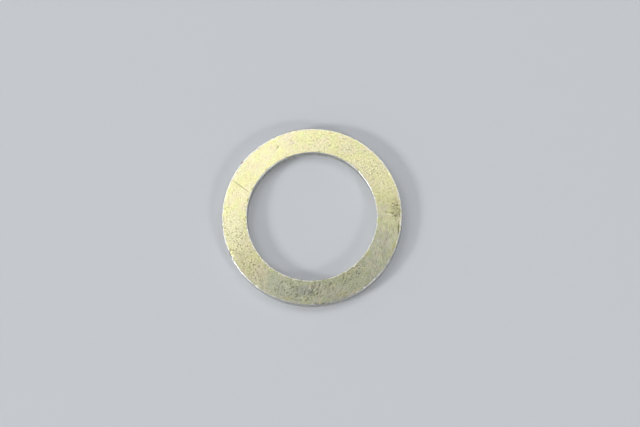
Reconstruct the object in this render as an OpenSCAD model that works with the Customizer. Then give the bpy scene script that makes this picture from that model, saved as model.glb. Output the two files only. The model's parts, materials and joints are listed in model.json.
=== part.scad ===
// Flat washer, blanked from sheet steel. Millimetres.
// The origin is the centre of the bore on the lower bearing face, and +Z runs up the bore's axis.

/* [Ring] */
// Outside diameter
outer_d = 21; // [20:0.5:60]
// Bore diameter
bore_d = 15; // [4:0.5:17]
// Sheet thickness
thickness = 1.5; // [0.8:0.1:5]

/* [Edges] */
// Radius of the two upper edges, which the blanking tool drew down
roll_r = 0.25; // [0.05:0.01:0.4]
// Radius of the two lower edges, whose burr was tumbled off
break_r = 0.1; // [0.02:0.01:0.2]

/* [Hidden] */

outer_r = outer_d / 2;
bore_r = bore_d / 2;
wall_w = outer_r - bore_r;
// How far a cutting shape runs past the surface that it cuts
overcut = 0.05;
pale_yellow_zinc = [0.80, 0.78, 0.60];
$fn = 192;

// What is cut away to round a square corner at the origin, whose material is at -x, -y
module corner_waste(r) {
    difference() {
        translate([-r, -r]) square(r + overcut);
        translate([-r, -r]) circle(r);
    }
}

// What is cut away along one wall of the cross-section: its upper and its lower corner
module edge_waste() {
    translate([wall_w / 2, thickness]) corner_waste(roll_r);
    translate([wall_w / 2, 0]) mirror([0, 1]) corner_waste(break_r);
}

// The ring's cross-section, standing on the x axis at its true distance from the bore's axis
module section() {
    translate([bore_r + wall_w / 2, 0]) difference() {
        translate([-wall_w / 2, 0]) square([wall_w, thickness]);
        edge_waste();
        mirror([1, 0]) edge_waste();
    }
}

// The one piece: an annulus with parallel faces, a straight bore and a straight rim
module washer() {
    color(pale_yellow_zinc) rotate_extrude() section();
}

washer();
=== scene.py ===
"""Looks of the flat washer: a ring blanked from sheet steel, zinc plated and passivated pale yellow.

The ring is one displaced mesh in millimetres, scaled to metres when it is made. Angles are in
degrees, anticlockwise from +X as seen from above, unless a comment says otherwise. The stage's
lengths are in metres. Left and right on the face are -X and +X. Its upper and its lower half are
+Y and -Y, while the upper edges, the upper face and the upper part of a wall are those at +Z.
"""
import json
import math
import random

import bpy
import numpy as np
from mathutils import Matrix, Vector, noise


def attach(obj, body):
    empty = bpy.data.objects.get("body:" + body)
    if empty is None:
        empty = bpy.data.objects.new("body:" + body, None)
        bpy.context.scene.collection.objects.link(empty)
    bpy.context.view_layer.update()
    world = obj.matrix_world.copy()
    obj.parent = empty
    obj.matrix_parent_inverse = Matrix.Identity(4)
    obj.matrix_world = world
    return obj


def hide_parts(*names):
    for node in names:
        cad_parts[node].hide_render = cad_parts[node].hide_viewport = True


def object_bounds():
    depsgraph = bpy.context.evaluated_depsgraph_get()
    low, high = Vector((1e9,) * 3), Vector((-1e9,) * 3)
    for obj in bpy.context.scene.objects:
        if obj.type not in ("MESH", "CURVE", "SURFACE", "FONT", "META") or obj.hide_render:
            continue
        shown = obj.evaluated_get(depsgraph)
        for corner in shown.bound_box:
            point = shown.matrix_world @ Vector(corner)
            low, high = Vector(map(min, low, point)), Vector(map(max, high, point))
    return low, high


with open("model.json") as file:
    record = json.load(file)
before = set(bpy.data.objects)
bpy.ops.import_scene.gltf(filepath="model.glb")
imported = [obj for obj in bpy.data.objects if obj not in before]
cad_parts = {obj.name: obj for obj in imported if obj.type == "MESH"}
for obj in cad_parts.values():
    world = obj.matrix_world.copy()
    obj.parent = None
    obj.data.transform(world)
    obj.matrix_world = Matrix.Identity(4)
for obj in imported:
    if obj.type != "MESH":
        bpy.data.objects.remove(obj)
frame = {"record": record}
cad_low, cad_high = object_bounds()

# ---------------------------------------------------------------- sizes, in millimetres

MM = 0.001
ROUND_MOUNTS = {m["name"]: m["dims"]["r_mm"] for m in frame["record"]["mounts"] if "r_mm" in m["dims"]}
OUTER_R = ROUND_MOUNTS["rim"]
BORE_R = ROUND_MOUNTS["bore"]
THICK = cad_high.z / MM
WIDTH = OUTER_R - BORE_R
MID_R = (OUTER_R + BORE_R) / 2

# The upper edges, drawn down by the tool: width and depth. The lower ones, tumbled: radius
ROLL_IN_W, ROLL_IN_D = 0.12, 0.11
ROLL_OUT_W, ROLL_OUT_D = 0.11, 0.10
BREAK_R = 0.09
# How much higher the ring's inner edge stands than its outer one
DISH = 0.075
# The torn lower part of each wall: how far up it reaches, how far back it stands, how rough it is,
# and over what height it gives way to the smooth part above
TEAR_TOP, TEAR_RELIEF, TEAR_ROUGH, TEAR_SOFT = 0.62, 0.05, 0.02, 0.16
# The tear's roughness: the width of the coarse and of the fine features, and how strong the fine ones are
TEAR_COARSE_W, TEAR_FINE_W, TEAR_FINE = 0.22, 0.1, 0.6
# How far into the ring the walls' unevenness reaches, and above which part of the thickness the upper
# face's begins
WALL_REACH, UPPER_FROM = 0.35, 0.5
# Other unevenness, each as the width of its features and how far it moves the surface: the tear's
# upper line, slow waves and ripples of the walls, long waves and mottling of the upper face
TEAR_LINE = (1.1, 0.16)
WALL_WAVES, WALL_RIPPLES = (2.2, 0.010), (0.4, 0.008)
FACE_WAVES, FACE_MOTTLE = (3.1, 0.006), (0.55, 0.0004)
# How noise is stretched along +Z: not at all, fully and partly
SOLID, UPRIGHT, LONG = (1, 1, 1), (1, 1, 0), (1, 1, 0.3)
# The bruise in the rim: its middle, half its angle, how far it goes in and how far it is pressed down
NICK_ANGLE, NICK_HALF, NICK_IN, NICK_DOWN = -155.5, 3.4, 0.09, 0.008
# The part of its half angle with the full depth, how far in from the rim it is felt on the face, and
# between which parts of the thickness it comes in on the wall
NICK_CORE, NICK_REACH, NICK_FROM, NICK_TO = 0.25, 0.55, 0.2, 0.7

# Dents in the upper face, the proud ones negative: x, y, length, width, direction of the long side,
# depth, and how dark the painted shade in it is
DENTS = [
    (-3.97, 8.18, 0.52, 0.22, 62, 0.010, 0.45),
    (-2.35, 8.95, 0.30, 0.20, 20, 0.004, 0.3),
    (-2.10, 8.70, 0.26, 0.14, 70, 0.004, 0.3),
    (2.12, 8.33, 0.50, 0.13, 2, 0.005, 0.5),
    (2.60, 8.30, 0.18, 0.15, 0, -0.007, 0),
    (1.39, 9.07, 0.22, 0.17, 0, -0.006, 0),
    (4.94, 7.20, 0.66, 0.10, 88, 0.004, 0.3),
    (7.10, 5.30, 0.90, 0.10, 150, 0.004, 0.3),
    (6.90, 4.90, 0.60, 0.12, 146, -0.004, 0),
    (6.60, 5.60, 0.50, 0.12, 35, -0.004, 0),
    (8.48, -0.83, 0.19, 0.15, 0, -0.008, 0),
    (-3.53, -7.80, 0.55, 0.16, 62, 0.003, 0.7),
    (-3.77, -8.40, 0.42, 0.15, 68, 0.003, 0.7),
    (-3.05, -8.55, 0.40, 0.13, 60, -0.003, 0),
    (-2.75, -9.20, 0.50, 0.13, 25, -0.003, 0),
    (-2.40, -7.90, 0.46, 0.14, 66, 0.003, 0.6),
    (-2.30, -9.20, 0.36, 0.13, 30, 0.003, 0.6),
    (-1.60, -8.70, 0.40, 0.13, 72, 0.003, 0.5),
    (0.66, -9.10, 0.44, 0.16, 52, 0.003, 0.8),
    (0.30, -8.50, 0.36, 0.12, 60, 0.002, 0.5),
    (2.10, -8.00, 0.70, 0.15, 72, 0.003, 0.7),
    (2.80, -8.10, 0.40, 0.12, 62, 0.002, 0.5),
    (3.75, -8.00, 0.46, 0.14, 58, 0.003, 0.6),
    (-10.03, -1.30, 0.30, 0.14, 20, 0.002, 0.7),
    (-9.76, -2.10, 0.26, 0.14, 60, 0.002, 0.6),
    (-8.80, -1.40, 0.40, 0.10, 5, 0.002, 0.6),
    (-8.20, -1.87, 0.40, 0.12, -5, 0.002, 0.7),
]
# Small dings strewn over the face: how many, and how far they keep from the edges. Most lie on the
# lower half: their share, and their middle angle and its spread. All slant about the same way:
# direction and its spread. Last, the ranges of their length, width and depth
FACE_DINGS, DING_MARGIN = 150, 0.3
LOWER_SHARE, LOWER_ANGLE, LOWER_SPREAD = 0.8, -105, 48
DING_DIRECTION, DING_FAN = 66, 26
DING_LENGTH, DING_WIDTH, DING_DEPTH = (0.14, 0.32), (0.10, 0.15), (0.0003, 0.0014)
# Knocks along the two upper edges: how many, half their angle in radians, how far back they go, and how
# far the edge sinks for each millimetre of that
EDGE_DINGS, KNOCK_HALF, KNOCK_IN, KNOCK_SINK = 90, (0.006, 0.024), (0.004, 0.022), 0.6

FACE_SEED, EDGE_SEED = 11, 5

SEGMENTS = 960
FACE_POINTS, ROLL_POINTS, WALL_POINTS, BREAK_POINTS, UNDER_POINTS = 36, 9, 13, 4, 12


# ---------------------------------------------------------------- shape


def smooth(low, high, value):
    """A soft step from 0 at low to 1 at high."""
    t = np.clip((value - low) / (high - low), 0, 1)
    return t * t * (3 - 2 * t)


def perlin(points, size, seed):
    """Smooth noise, about -1 to 1, at each point, with features about as wide as size."""
    shift = Vector((17.3, 5.9, 11.1)) * seed
    return np.array([noise.noise(Vector(p) / size + shift) for p in points])


def arc(centre_r, centre_z, half_w, half_h, start, end, count):
    """A rounded edge's points, from one angle to the other."""
    t = np.radians(np.linspace(start, end, count))
    return np.c_[centre_r + half_w * np.cos(t), centre_z + half_h * np.sin(t)]


def line(r_0, z_0, r_1, z_1, count):
    """Points between two corners, without the corners themselves."""
    t = np.linspace(0, 1, count + 2)[1:-1, None]
    return np.array([[r_0, z_0]]) * (1 - t) + np.array([[r_1, z_1]]) * t


def section():
    """The ring's cross-section as (radius, height) points, going outward over the upper face."""
    face_in, face_out = BORE_R + ROLL_IN_W, OUTER_R - ROLL_OUT_W
    bore_top, rim_top = THICK - ROLL_IN_D, THICK - ROLL_OUT_D
    return np.vstack([
        line(face_in, THICK, face_out, THICK, FACE_POINTS),
        arc(face_out, rim_top, ROLL_OUT_W, ROLL_OUT_D, 90, 0, ROLL_POINTS),
        line(OUTER_R, rim_top, OUTER_R, BREAK_R, WALL_POINTS),
        arc(OUTER_R - BREAK_R, BREAK_R, BREAK_R, BREAK_R, 0, -90, BREAK_POINTS),
        line(OUTER_R - BREAK_R, 0, BORE_R + BREAK_R, 0, UNDER_POINTS),
        arc(BORE_R + BREAK_R, BREAK_R, BREAK_R, BREAK_R, -90, -180, BREAK_POINTS),
        line(BORE_R, BREAK_R, BORE_R, bore_top, WALL_POINTS),
        arc(face_in, bore_top, ROLL_IN_W, ROLL_IN_D, 180, 90, ROLL_POINTS),
    ])


def place(r, angle, z=0.0):
    """The point at a radius, an angle in degrees and a height."""
    return Vector((r * math.cos(math.radians(angle)), r * math.sin(math.radians(angle)), z))


def dent(x, y, spot, direction, length, width):
    """How deep each point lies in one soft dent, from 0 to 1."""
    c, s = math.cos(math.radians(direction)), math.sin(math.radians(direction))
    along, across = (x - spot.x) * c + (y - spot.y) * s, (y - spot.y) * c - (x - spot.x) * s
    return np.exp(-((2 * along / length) ** 2) - (2 * across / width) ** 2)


def face_dents(x, y):
    """How far the upper face is pushed down at each point, by the dents and the strewn dings."""
    down = np.zeros(x.shape)
    for x_0, y_0, length, width, direction, depth, _ in DENTS:
        down += depth * dent(x, y, Vector((x_0, y_0)), direction, length, width)
    rng = random.Random(FACE_SEED)
    for _ in range(FACE_DINGS):
        lower = rng.random() < LOWER_SHARE
        angle = rng.gauss(LOWER_ANGLE, LOWER_SPREAD) if lower else rng.uniform(-180, 180)
        spot = place(rng.uniform(BORE_R + DING_MARGIN, OUTER_R - DING_MARGIN), angle)
        length, width = rng.uniform(*DING_LENGTH), rng.uniform(*DING_WIDTH)
        depth, direction = rng.uniform(*DING_DEPTH), rng.gauss(DING_DIRECTION, DING_FAN)
        down += depth * dent(x, y, spot, direction, length, width)
    return down


def edge_dings(turn, outer):
    """How far each point of the two upper edges is knocked back, by its place round the ring."""
    back = np.zeros(turn.shape)
    rng = random.Random(EDGE_SEED)
    for k in range(EDGE_DINGS):
        side = outer if k % 2 else ~outer
        angle, half = math.radians(rng.uniform(-180, 180)), rng.uniform(*KNOCK_HALF)
        away = np.abs((turn - angle + math.pi) % (2 * math.pi) - math.pi)
        back += side * rng.uniform(*KNOCK_IN) * np.exp(-((away / half) ** 2))
    return back


def displaced(r, z, turn):
    """Where use and the blanking tool left the points of an ideal ring, as radius and height."""
    flat = np.stack([r * np.cos(turn), r * np.sin(turn), z], -1).reshape(-1, 3)

    def uneven(size, amount, seed, stretch=SOLID):
        return amount * perlin(flat * stretch, size, seed).reshape(r.shape)

    # which way the material lies at the walls, how near each point is to one and how high it is
    outer = r > MID_R
    inward = np.where(outer, -1.0, 1.0)
    near_wall = smooth(WIDTH / 2 - WALL_REACH, WIDTH / 2, np.abs(r - MID_R))
    upper = smooth(UPPER_FROM * THICK, THICK, z)

    # torn lower part of the walls, below an uneven line
    tear_line = TEAR_TOP + uneven(*TEAR_LINE, 1, UPRIGHT)
    torn = smooth(0.0, TEAR_SOFT, tear_line - z) * near_wall
    rough = uneven(TEAR_COARSE_W, 1.0, 2) + uneven(TEAR_FINE_W, TEAR_FINE, 3)
    r_new = r + inward * torn * (TEAR_RELIEF + TEAR_ROUGH * rough)

    # the tool's edge was not a perfect circle, and the washer has been knocked about since
    r_new += inward * near_wall * (uneven(*WALL_WAVES, 4, UPRIGHT) + uneven(*WALL_RIPPLES, 5, LONG))
    knocked = edge_dings(turn, outer) * near_wall * upper
    r_new += inward * knocked

    # upper face: slight dish, long waves, shallow mottling and dents
    x_0, y_0 = flat[:, 0].reshape(r.shape), flat[:, 1].reshape(r.shape)
    face = uneven(*FACE_WAVES, 6) + uneven(*FACE_MOTTLE, 7) - face_dents(x_0, y_0)
    z_new = z + DISH * (OUTER_R - r) / WIDTH
    z_new += upper * (face - KNOCK_SINK * knocked)

    # the bruise in the rim
    away = np.abs((np.degrees(turn) - NICK_ANGLE + 180) % 360 - 180)
    bruise = smooth(NICK_HALF, NICK_CORE * NICK_HALF, away) * smooth(OUTER_R - NICK_REACH, OUTER_R, r)
    r_new -= NICK_IN * bruise * smooth(NICK_FROM * THICK, NICK_TO * THICK, z)
    z_new -= NICK_DOWN * bruise * upper
    return r_new, z_new


def washer_mesh():
    """The ring's mesh in metres: the displaced section, carried once round the axis."""
    outline = section()
    count = len(outline)
    r = np.tile(outline[:, 0], (SEGMENTS, 1))
    z = np.tile(outline[:, 1], (SEGMENTS, 1))
    theta = np.linspace(0, 2 * math.pi, SEGMENTS, endpoint=False)
    turn = np.repeat(theta[:, None], count, axis=1)
    r_new, z_new = displaced(r, z, turn)
    points = np.stack([r_new * np.cos(turn), r_new * np.sin(turn), z_new], -1).reshape(-1, 3) * MM
    i, j = np.meshgrid(np.arange(SEGMENTS), np.arange(count), indexing="ij")
    i_next, j_next = (i + 1) % SEGMENTS, (j + 1) % count
    corners = [i * count + j, i * count + j_next, i_next * count + j_next, i_next * count + j]
    mesh = bpy.data.meshes.new("washer_ring")
    mesh.from_pydata(points.tolist(), [], np.stack(corners, -1).reshape(-1, 4).tolist())
    mesh.shade_smooth()
    return mesh


# ---------------------------------------------------------------- material: colours and marks

YELLOW, GREEN, PINK = (0.80, 0.72, 0.33), (0.70, 0.80, 0.36), (0.88, 0.76, 0.60)
# The film on the upper and on the lower half, in two tints each, its blotches, and the darker colour below
# the crease
UPPER_FILM = (0.85, 0.82, 0.43), (0.86, 0.795, 0.50)
LOWER_FILM = (0.78, 0.80, 0.54), (0.79, 0.78, 0.585)
WARM_BLOTCH, GREEN_BLOTCH = (0.80, 0.70, 0.42), (0.80, 0.86, 0.42)
DARKER_BELOW_CREASE = (0.72, 0.67, 0.43)
BARE_ZINC = (0.79, 0.81, 0.81)
# Dark specks of the mottling, and its pale specks, which are painted glints
DARK_PIT, PAINTED_GLINT = (0.30, 0.28, 0.15), (0.97, 0.94, 0.68)
ROLLED = (0.5, 0.49, 0.38)
SCRATCH, SCUFF = (0.16, 0.14, 0.08), (0.95, 0.92, 0.76)
# The dark colour in the dents is painted shade
DENT_SHADE, RUST = (0.24, 0.23, 0.14), (0.40, 0.16, 0.10)
# The walls' steel, smooth above and torn below: its dark and its light streaks. The smooth part is
# darkened with painted shade, and the torn part is lightened with a painted reflection
SHADED_SMOOTH_STEEL = (0.32, 0.31, 0.28), (0.52, 0.51, 0.46)
LIT_TORN_STEEL = (0.56, 0.55, 0.50), (0.80, 0.79, 0.73)

# Noises on the surface: how fine they are, as features per millimetre, and their detail. A noise lies
# between 0 and 1, mostly near 0.5, and the steps below turn a part of that range into a mask
DRIFT, TINTS, BLOTCHES, FRAY = (0.45, 2), (0.6, 1), (1.4, 2), (2.6, 3)
ROUGH_AREAS, GLOSS, WALL_LINE = (0.75, 2), (1.4, 2), (0.9, 2)
# Noises that only shift the place: how fine they are and by how many millimetres at most
RAGGED, WANDER = (1.3, 0.5), (0.9, 0.12)
# Finer noises: detail and roughness. The grain has this many features per millimetre
FINE, STREAKED = (2, 0.6), (3, 0.6)
GRAIN = 4.5
# Stretched noises: features per millimetre along X, Y and Z, or the features' half length, half width
# and direction
ROLLING, WALL_STREAKS = (4.5, 0.35, 3), (4.5, 4.5, 0.7)
SLASHES, STREAKS = (0.34, 0.17, 62), (0.5, 0.15, 86)
SLASH_DISTORTION = 0.7

# Patches of other colour, most of them where the film differs: x, y, half length, half width, direction,
# colour, strength
PATCHES = [
    (-5.9, -6.5, 1.6, 0.9, 60, (0.90, 0.80, 0.55), 0.7),
    (-4.5, -7.3, 1.3, 0.8, 60, (0.70, 0.76, 0.54), 0.6),
    (-0.7, -8.8, 1.7, 0.9, 0, (0.60, 0.63, 0.55), 0.8),
    (0.1, -7.8, 2.3, 0.35, 3, (0.80, 0.86, 0.50), 0.6),
    (4.0, -7.0, 2.0, 0.6, 35, (0.74, 0.76, 0.44), 0.6),
    (8.7, -2.9, 2.2, 0.45, 88, (0.78, 0.73, 0.60), 0.5),
    (-5.4, -5.8, 0.35, 0.3, 0, GREEN, 0.8),
    (-4.7, -6.4, 0.4, 0.3, 20, GREEN, 0.7),
    (-2.7, -9.6, 0.9, 0.25, 8, YELLOW, 0.8),
    (3.4, -9.2, 1.3, 0.4, 20, YELLOW, 0.45),
    (6.4, -4.4, 0.9, 0.35, 50, YELLOW, 0.6),
    (9.5, -3.9, 1.6, 0.3, 72, YELLOW, 0.7),
    (9.8, 0.7, 1.5, 0.75, 94, (0.62, 0.60, 0.32), 0.75),
    (-2.2, 8.85, 0.55, 0.4, 0, PINK, 0.6),
    (-2.9, 9.5, 0.9, 0.4, 20, PINK, 0.5),
    (-4.6, 8.9, 0.5, 0.35, 30, YELLOW, 0.5),
    (1.97, 9.66, 0.6, 0.35, 0, YELLOW, 0.6),
    (3.4, 9.4, 0.6, 0.35, -20, PINK, 0.6),
    (-7.9, 1.2, 0.8, 0.4, 60, PINK, 0.4),
    (-9.15, -4.15, 0.45, 0.35, 30, (0.62, 0.62, 0.30), 0.7),
    # a paler area at the left of the face, above the crease line
    (-9.3, -1.7, 2.8, 1.9, 82, (0.97, 0.93, 0.57), 0.9),
    (-3.4, -8.4, 3.0, 1.6, -22, (0.68, 0.69, 0.53), 0.75),
    (8.2, 4.4, 3.2, 1.8, 118, (0.93, 0.88, 0.51), 0.55),
]
# Thin marks, the pale ones negative: x, y, half length, half width, direction, strength
LINES = [
    (-8.26, 3.67, 1.85, 0.07, -37.5, 0.75),
    (10.05, -1.60, 1.0, 0.14, 90, 0.8),
    (9.75, -0.05, 0.32, 0.12, -12, 0.9),
    (10.15, 0.15, 0.5, 0.12, 95, 0.7),
    (9.00, 0.34, 1.00, 0.08, -9, 0.5),
    (8.80, 0.06, 1.00, 0.09, -7, -0.5),
    (8.09, 3.57, 1.15, 0.09, 82, -0.6),
    (-7.95, 1.30, 0.8, 0.05, 62, 0.25),
    (-9.15, -3.90, 0.45, 0.12, -4, 0.5),
]
# Where the mottling is strong: x, y, half length, half width, direction, strength
PITTED = [
    (-8.3, -3.0, 3.2, 2.4, -60, 0.6),
    (-7.2, -5.7, 2.2, 1.3, -50, 1.4),
    (9.8, 0.7, 1.6, 0.85, 94, 1.0),
    (8.0, -3.4, 4.6, 2.4, 68, 0.45),
    (7.3, 5.3, 1.5, 1.0, 130, 0.6),
    (1.0, 9.0, 3.5, 1.2, 0, 0.4),
    (4.4, -6.9, 2.8, 1.2, 40, 1.3),
    (8.0, -4.6, 1.6, 1.2, 60, 0.8),
    (-3.2, -8.4, 2.4, 1.6, -20, 1.0),
]
# Rust specks on the upper edges: x, y, radius
RUST_SPECKS = [(-8.2, 6.55, 0.28), (-5.75, -4.85, 0.2), (-4.8, -5.8, 0.16)]

# Other areas of the face: x, y, half length, half width, direction, and for some the softness of the edge
BELOW_CREASE = (-8.5, -5.0, 2.4, 1.7, -55)
WIDE_WEAR = (-8.3, 8.3, 10.0, 3.6, 45)
BOTTOM = (-0.3, -8.6, 6.2, 3.0)
RIGHT = (8.3, -2.8, 4.8, 2.4, 72, 0.6)
CALM = (-5.9, 5.9, 8.0, 4.6, 45)
STAIN = (9.75, 0.7, 1.7, 0.85, 94, 0.5)
LEFT_SPECKS = (-8.9, -1.9, 1.6, 1.5, 75)
CLEAR_ROLLING = (8.4, -3.2, 5.0, 1.8, 75)


# ---------------------------------------------------------------- material: nodes


class Nodes:
    """A short way to write a material's node tree. Each method adds nodes and returns an output."""

    def __init__(self, tree):
        self.tree = tree

    def add(self, kind, inputs, output=0, **settings):
        """Any node. Its inputs are sockets or constants, and an input of None is left alone."""
        node = self.tree.nodes.new(kind)
        for name, value in settings.items():
            setattr(node, name, value)
        for key, value in inputs.items():
            if isinstance(value, bpy.types.NodeSocket):
                self.tree.links.new(value, node.inputs[key])
            elif value is not None:
                node.inputs[key].default_value = value
        return node.outputs[output]

    def math(self, operation, a, b=None, c=None, clamp=False):
        return self.add("ShaderNodeMath", {0: a, 1: b, 2: c}, operation=operation, use_clamp=clamp)

    def vector(self, operation, a, b=None, output=0):
        return self.add("ShaderNodeVectorMath", {0: a, 1: b}, output, operation=operation)

    def step(self, low, high, value, out_low=0.0, out_high=1.0):
        """A soft step of a value, which may run downwards."""
        return self.add(
            "ShaderNodeMapRange",
            {"Value": value, "From Min": low, "From Max": high, "To Min": out_low, "To Max": out_high},
            interpolation_type="SMOOTHSTEP",
        )

    def noise(self, at, scale, detail, roughness=0.5, distortion=0.0):
        """A noise's strength, from 0 to 1."""
        return self.add(
            "ShaderNodeTexNoise",
            {
                "Vector": at,
                "Scale": scale,
                "Detail": detail,
                "Roughness": roughness,
                "Distortion": distortion,
            },
        )

    def cloud(self, at, scale):
        """A noise's colour, as three values at each point."""
        return self.add("ShaderNodeTexNoise", {"Vector": at, "Scale": scale, "Detail": 2.0}, "Color")

    def mix(self, factor, a, b):
        """Mixes two colours, each a socket or (r, g, b)."""
        node = self.tree.nodes.new("ShaderNodeMix")
        node.data_type = "RGBA"
        for key, value in ((0, factor), (6, a), (7, b)):
            if isinstance(value, bpy.types.NodeSocket):
                self.tree.links.new(value, node.inputs[key])
            else:
                node.inputs[key].default_value = value if key == 0 else (*value, 1)
        return node.outputs[2]

    def turned(self, at, x, y, half_length, half_width, direction):
        """Coordinates about a point, along and across a direction, in half lengths and half widths."""
        return self.add(
            "ShaderNodeMapping",
            {
                "Vector": at,
                "Location": (x, y, 0),
                "Rotation": (0, 0, math.radians(direction)),
                "Scale": (half_length, half_width, 1),
            },
            vector_type="TEXTURE",
        )

    def spot(self, at, x, y, half_length, half_width, direction=0.0, soft=0.8):
        """1 in an oval on the face and 0 outside it, with a soft edge."""
        from_middle = self.turned(at, x, y, half_length, half_width, direction)
        away = self.vector("LENGTH", from_middle, output="Value")
        return self.step(1.0, 1.0 - soft, away)


def shifted(n, at, face_at, scale, amount):
    """Places on the face moved about by noise, by 0 to amount along X and Y."""
    return n.vector("ADD", face_at, n.vector("MULTIPLY", n.cloud(at, scale), (amount, amount, 0)))


def plain_film(n, at, face_at):
    """The film's colour without patches: yellow above, greyer on the lower half, softly blotched."""
    # the film is thinnest towards this angle, the lower right, where side is 1
    thin_angle, drifting, blotch_strength = -65, 0.5, 0.45
    side = n.vector("DOT_PRODUCT", n.vector("NORMALIZE", face_at), place(1, thin_angle), output="Value")
    drift = n.math("SUBTRACT", n.noise(at, *DRIFT), 0.5)
    lower = n.step(0.15, 0.8, n.math("MULTIPLY_ADD", drift, drifting, side))
    tints = n.noise(at, *TINTS)
    upper_film = n.mix(n.step(0.36, 0.62, tints), *UPPER_FILM)
    lower_film = n.mix(n.step(0.4, 0.6, tints), *LOWER_FILM)
    film = n.mix(lower, upper_film, lower_film)
    blotches = n.noise(at, *BLOTCHES)
    film = n.mix(n.step(0.54, 0.70, blotches, 0, blotch_strength), film, WARM_BLOTCH)
    return n.mix(n.step(0.46, 0.32, blotches, 0, blotch_strength), film, GREEN_BLOTCH)


def patched(n, film, at, face_at):
    """The film with its patches, and darker below the crease line that runs in from the bruise."""
    crease, crease_end, crease_strength = -3.85, -4.05, 0.45
    scale, ragged = RAGGED
    # less the half of it that the noise adds on average
    uneven_at = shifted(n, at, face_at, scale, ragged)
    uneven_at = n.vector("SUBTRACT", uneven_at, (ragged / 2, ragged / 2, 0))
    for x, y, half_length, half_width, direction, tint, strength in PATCHES:
        mask = n.spot(uneven_at, x, y, half_length, half_width, direction)
        film = n.mix(n.math("MULTIPLY", mask, strength), film, tint)
    uneven_y = n.add("ShaderNodeSeparateXYZ", {0: uneven_at}, "Y")
    creased = n.math("MULTIPLY", n.step(crease, crease_end, uneven_y), n.spot(face_at, *BELOW_CREASE))
    return n.mix(n.math("MULTIPLY", creased, crease_strength), film, DARKER_BELOW_CREASE)


def worn_edges(n, at, face_at, radius):
    """1 where the film is worn through, in a frayed strip along both edges, widest at the upper left."""
    starts, ends, frayed, widened = 0.21, 0.07, 0.4, 0.12
    fray = n.math("SUBTRACT", n.noise(at, *FRAY), 0.5)
    from_middle = n.math("ABSOLUTE", n.math("SUBTRACT", radius, MID_R))
    from_middle = n.math("MULTIPLY_ADD", n.spot(face_at, *WIDE_WEAR), widened, from_middle)
    from_middle = n.math("MULTIPLY_ADD", fray, frayed, from_middle)
    return n.step(WIDTH / 2 - starts, WIDTH / 2 - ends, from_middle)


def pit_texture(n, at, face_at, bottom):
    """The mottling's noise: an even grain, slanted slashes at the bottom and streaks at the right."""
    grain = n.noise(at, GRAIN, *FINE)
    slashes = n.noise(n.turned(at, 0, 0, *SLASHES), 1.0, *FINE, SLASH_DISTORTION)
    texture = n.math("MULTIPLY_ADD", n.math("SUBTRACT", slashes, grain), bottom, grain)
    streaks = n.noise(n.turned(at, 0, 0, *STREAKS), 1.0, *FINE)
    return n.math("MULTIPLY_ADD", n.math("SUBTRACT", streaks, texture), n.spot(face_at, *RIGHT), texture)


def pit_amount(n, at, face_at, bottom):
    """How strong the mottling is: some everywhere, in smoother and rougher areas, and least where calm."""
    bottom_amount, general, calmer = 0.85, 0.33, -0.2
    smoother, rougher = 0.45, 1.35
    amount = n.math("MULTIPLY", bottom, bottom_amount)
    for x, y, half_length, half_width, direction, strength in PITTED:
        here = n.spot(face_at, x, y, half_length, half_width, direction)
        amount = n.math("MAXIMUM", amount, n.math("MULTIPLY", here, strength))
    calm = n.spot(face_at, *CALM)
    amount = n.math("MAXIMUM", amount, n.math("MULTIPLY_ADD", calm, calmer, general))
    areas = n.step(0.36, 0.58, n.noise(at, *ROUGH_AREAS), smoother, rougher)
    return n.math("MULTIPLY", amount, areas)


def separate_specks(n, face_at):
    """Dark specks in the stain at the right, and fainter ones at the left."""
    specks_per_mm, speck_edge, speck_core, left_strength = 3.5, 0.47, 0.22, 0.5
    apart = n.add("ShaderNodeTexVoronoi", {"Vector": face_at, "Scale": specks_per_mm}, "Distance")
    left = n.math("MULTIPLY", n.spot(face_at, *LEFT_SPECKS), left_strength)
    where = n.math("MAXIMUM", n.spot(face_at, *STAIN), left)
    return n.math("MULTIPLY", n.step(speck_edge, speck_core, apart), where)


def pitting(n, at, face_at):
    """Fine mottling, as dark specks, pale specks that are painted glints, and height."""
    bottom = n.spot(face_at, *BOTTOM)
    texture = pit_texture(n, at, face_at, bottom)
    amount = pit_amount(n, at, face_at, bottom)
    dark = n.math("MULTIPLY", n.step(0.53, 0.60, texture), amount, clamp=True)
    # the pale specks are painted glints
    pale = n.math("MULTIPLY", n.step(0.47, 0.40, texture), amount, clamp=True)
    dark = n.math("MAXIMUM", dark, separate_specks(n, face_at))
    return dark, pale, n.math("MULTIPLY", texture, amount)


def rolling(n, at, face_at):
    """Rolling marks along Y, as their noise and how far they dull the film, most at the right."""
    general, more_at_right = 0.10, 0.16
    marks = n.noise(n.vector("MULTIPLY", at, ROLLING), 1.0, *FINE)
    strength = n.math("MULTIPLY_ADD", n.spot(face_at, *CLEAR_ROLLING), more_at_right, general)
    return marks, n.math("MULTIPLY", n.step(0.42, 0.68, marks), strength)


def scratched(n, colour, height, at, face_at):
    """The colour and height with the scratches, cut in, and the scuffs, pushed up."""
    cut, raised = -0.6, 0.3
    scale, wander = WANDER
    # the noise adds half of wander on average, so each mark is looked for that much further on
    wavy_at = shifted(n, at, face_at, scale, wander)
    for x, y, half_length, half_width, direction, strength in LINES:
        mark = n.spot(wavy_at, x + wander / 2, y + wander / 2, half_length, half_width, direction)
        mask = n.math("MULTIPLY", mark, abs(strength))
        colour = n.mix(mask, colour, SCRATCH if strength > 0 else SCUFF)
        height = n.math("MULTIPLY_ADD", mask, cut if strength > 0 else raised, height)
    return colour, height


def shaded_dents(n, colour, face_at):
    """The colour with painted shade in the dents."""
    # half the painted shade's length and width, as a part of the dent's
    spread = 0.65
    for x, y, length, width, direction, _, dent_shade in DENTS:
        if dent_shade:
            mask = n.spot(face_at, x, y, spread * length, spread * width, direction)
            colour = n.mix(n.math("MULTIPLY", mask, dent_shade), colour, DENT_SHADE)
    return colour


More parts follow.
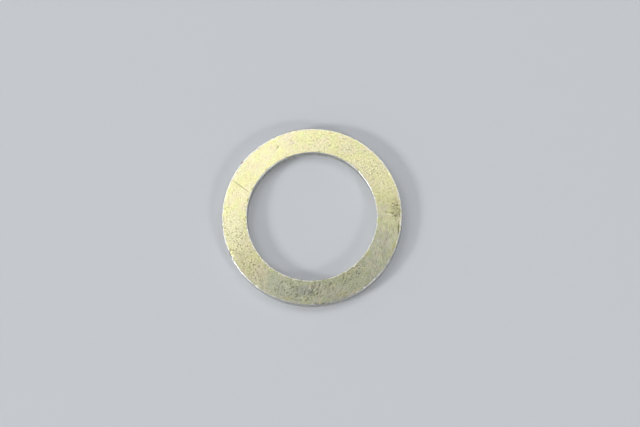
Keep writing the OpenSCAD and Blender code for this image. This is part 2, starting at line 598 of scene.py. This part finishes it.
def rusted(n, colour, at):
    """The colour with the rust specks, which reach less far down the walls than along the edges."""
    strength, flatter = 0.8, 3
    from_top = n.vector("MULTIPLY", n.vector("SUBTRACT", at, (0, 0, THICK)), (1, 1, flatter))
    for x, y, size in RUST_SPECKS:
        colour = n.mix(n.math("MULTIPLY", n.spot(from_top, x, y, size, size), strength), colour, RUST)
    return colour


def walls(n, at, face_at):
    """The walls, as 1 on a wall, 1 on its torn part, and the steel's colour with streaks along Z, with
    painted shade on the smooth upper part and a painted reflection on the torn part.
    """
    upright = n.add("ShaderNodeSeparateXYZ", {0: n.add("ShaderNodeNewGeometry", {}, "Normal")}, "Z")
    level, steep = 0.75, 0.3
    wall = n.step(level, steep, n.math("ABSOLUTE", upright))
    streaks = n.step(0.36, 0.64, n.noise(n.vector("MULTIPLY", at, WALL_STREAKS), 1.0, *STREAKED))
    # the noise adds half of uneven on average, so the middle of the step lies that much higher
    uneven, soft = 0.4, 0.2
    up_wall = n.add("ShaderNodeSeparateXYZ", {0: at}, "Z")
    up_wall = n.math("MULTIPLY_ADD", n.noise(face_at, *WALL_LINE), uneven, up_wall)
    middle = TEAR_TOP + uneven / 2
    torn = n.step(middle + soft / 2, middle - soft / 2, up_wall)
    # painted shade on the smooth part, a painted reflection on the torn part
    colour = n.mix(torn, n.mix(streaks, *SHADED_SMOOTH_STEEL), n.mix(streaks, *LIT_TORN_STEEL))
    return wall, torn, colour


def zinc_plated_steel():
    """The washer's material: yellow film, pits with painted glints, rolling marks, scratches, painted
    shade in the dents, rust, and bare walls with painted shade and a painted reflection.
    """
    dark_strength, glint_strength, wall_strength = 0.85, 0.6, 0.8
    rolled_height, bump_height = 0.2, 0.004
    glossy_film, dull_film = 0.235, 0.265
    rougher_wall, rougher_zinc, rougher_tear = 0.14, 0.10, 0.16
    material = bpy.data.materials.new("zinc_plated_steel")
    material.use_nodes = True
    n = Nodes(material.node_tree)
    shader = material.node_tree.nodes["Principled BSDF"]

    # each point's place in millimetres, the same without its height, and its radius
    at = n.vector("SCALE", n.add("ShaderNodeTexCoord", {}, "Object"))
    at.node.inputs["Scale"].default_value = 1 / MM
    face_at = n.vector("MULTIPLY", at, (1, 1, 0))
    radius = n.vector("LENGTH", face_at, output="Value")

    worn = worn_edges(n, at, face_at, radius)
    colour = n.mix(worn, patched(n, plain_film(n, at, face_at), at, face_at), BARE_ZINC)
    dark, pale, pit_height = pitting(n, at, face_at)
    colour = n.mix(n.math("MULTIPLY", dark, dark_strength), colour, DARK_PIT)
    # pale specks: painted glints
    colour = n.mix(n.math("MULTIPLY", pale, glint_strength), colour, PAINTED_GLINT)
    marks, dulled = rolling(n, at, face_at)
    colour = n.mix(dulled, colour, ROLLED)
    height = n.math("MULTIPLY_ADD", marks, rolled_height, pit_height)
    colour, height = scratched(n, colour, height, at, face_at)
    # painted shade in the dents, then the rust specks
    colour = rusted(n, shaded_dents(n, colour, face_at), at)
    wall, torn, steel = walls(n, at, face_at)
    # the walls' colour, with painted shade above and a painted reflection on the torn part
    colour = n.mix(n.math("MULTIPLY", wall, wall_strength), colour, steel)

    roughness = n.step(0.3, 0.7, n.noise(at, *GLOSS), glossy_film, dull_film)
    roughness = n.math("MULTIPLY_ADD", wall, rougher_wall, roughness)
    roughness = n.math("MULTIPLY_ADD", worn, rougher_zinc, roughness)
    roughness = n.math("MULTIPLY_ADD", n.math("MULTIPLY", wall, torn), rougher_tear, roughness)
    bump = n.add("ShaderNodeBump", {"Strength": 1.0, "Distance": bump_height * MM, "Height": height})

    links = material.node_tree.links
    links.new(colour, shader.inputs["Base Color"])
    links.new(roughness, shader.inputs["Roughness"])
    links.new(bump, shader.inputs["Normal"])
    shader.inputs["Metallic"].default_value = 1.0
    return material


# ---------------------------------------------------------------- stage, in metres

# Softboxes: name, azimuth, elevation, distance, size, and how bright each looks in a mirror
LIGHTS = [
    ("key", -160, 31, 1.5, 0.28, 26),
    ("fill", -40, 35, 1.5, 0.28, 12.5),
    ("wall_front_right", -45, 20, 2.0, 1.4, 0.25),
    ("wall_front_left", -135, 20, 2.0, 1.4, 0.5),
    ("wall_back_left", 135, 22, 2.0, 1.4, 0.4),
    ("ceiling_left", 138, 62, 2.0, 1.0, 1.57),
    ("ceiling_side", 180, 62, 2.0, 1.0, 0.9),
    ("ceiling_right", 47, 62, 2.0, 1.0, 1.68),
    ("ceiling_back", 90, 62, 2.0, 1.0, 0.32),
]
ROOM_COLOUR = (0.15, 0.155, 0.17, 1)

# The floor: where it begins to rise, where it ends and how high that is, how its rings and its rise
# gather outward, and its colour and roughness
FLAT_R, END_R, RISE = 0.3, 3.0, 0.9
RING_POWER, RISE_POWER = 1.5, 3
FLOOR_COLOUR, FLOOR_ROUGHNESS = (0.76, 0.78, 0.81, 1), 0.9

# The camera: its distance, the washer's share of the picture's width, how far it leans to the right
# and to the front of the vertical, and the millimetres that it aims beside the washer's centre
CAMERA_DISTANCE, WASHER_SHARE = 0.35, 0.2828
LEAN_RIGHT, LEAN_FRONT = 3.0, 11.5
AIM_X, AIM_Y = 0.955, 0.334
NEAR_CLIP = 0.01


def floor_mesh():
    """A plain floor, flat round the washer and rising a little far away, where it ends the view."""
    rings, turns = 40, 96
    rows = [FLAT_R + (END_R - FLAT_R) * (k / rings) ** RING_POWER for k in range(rings + 1)]
    points = [(0, 0, 0)]
    for row in rows:
        height = RISE * ((row - FLAT_R) / (END_R - FLAT_R)) ** RISE_POWER
        for k in range(turns):
            a = 2 * math.pi * k / turns
            points.append((row * math.cos(a), row * math.sin(a), height))
    faces = [(0, 1 + k, 1 + (k + 1) % turns) for k in range(turns)]
    for ring in range(rings):
        for k in range(turns):
            a, b = 1 + ring * turns + k, 1 + ring * turns + (k + 1) % turns
            faces.append((a, a + turns, b + turns, b))
    mesh = bpy.data.meshes.new("floor")
    mesh.from_pydata(points, [], faces)
    mesh.shade_smooth()
    return mesh


def floor():
    """The pale, dull floor that the washer lies on."""
    material = bpy.data.materials.new("pale_floor")
    material.use_nodes = True
    shader = material.node_tree.nodes["Principled BSDF"]
    shader.inputs["Base Color"].default_value = FLOOR_COLOUR
    shader.inputs["Roughness"].default_value = FLOOR_ROUGHNESS
    thing = bpy.data.objects.new("floor", floor_mesh())
    thing.data.materials.append(material)
    bpy.context.scene.collection.objects.link(thing)


def softbox(name, azimuth, elevation, distance, size, radiance):
    """A square light that faces the washer from a direction, and looks that bright in a mirror."""
    data = bpy.data.lights.new(name, "AREA")
    data.shape = "SQUARE"
    data.size = size
    data.energy = radiance * math.pi * size * size
    light = bpy.data.objects.new(name, data)
    light.visible_camera = False
    towards = place(math.cos(math.radians(elevation)), azimuth, math.sin(math.radians(elevation)))
    light.location = towards * distance
    light.rotation_mode = "QUATERNION"
    light.rotation_quaternion = towards.to_track_quat("Z", "Y")
    bpy.context.scene.collection.objects.link(light)


def lighting():
    """The softboxes, and a dim room round them."""
    for row in LIGHTS:
        softbox(*row)
    world = bpy.data.worlds.new("room")
    world.use_nodes = True
    world.node_tree.nodes["Background"].inputs["Color"].default_value = ROOM_COLOUR
    bpy.context.scene.world = world


def camera():
    """Looks down from nearly overhead, a little to the right of the washer's centre."""
    field = 2 * OUTER_R / WASHER_SHARE * MM
    tilt_x, tilt_y = math.sin(math.radians(LEAN_RIGHT)), -math.sin(math.radians(LEAN_FRONT))
    back = Vector((tilt_x, tilt_y, math.sqrt(1 - tilt_x**2 - tilt_y**2)))
    up = (Vector((0, 1, 0)) - back * back.y).normalized()
    data = bpy.data.cameras.new("camera")
    data.lens = data.sensor_width * CAMERA_DISTANCE / field
    data.clip_start = NEAR_CLIP
    thing = bpy.data.objects.new("camera", data)
    aim = Vector((AIM_X, AIM_Y, THICK)) * MM
    turned = Matrix((up.cross(back), up, back)).transposed().to_4x4()
    thing.matrix_world = Matrix.Translation(aim + back * CAMERA_DISTANCE) @ turned
    bpy.context.scene.collection.objects.link(thing)
    bpy.context.scene.camera = thing


# ---------------------------------------------------------------- scene

camera()
floor()
lighting()
bpy.context.scene.view_settings.view_transform = "Standard"

washer = bpy.data.objects.new("washer_ring", washer_mesh())
bpy.context.scene.collection.objects.link(washer)
washer.data.materials.append(zinc_plated_steel())
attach(washer, "root")
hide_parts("washer")
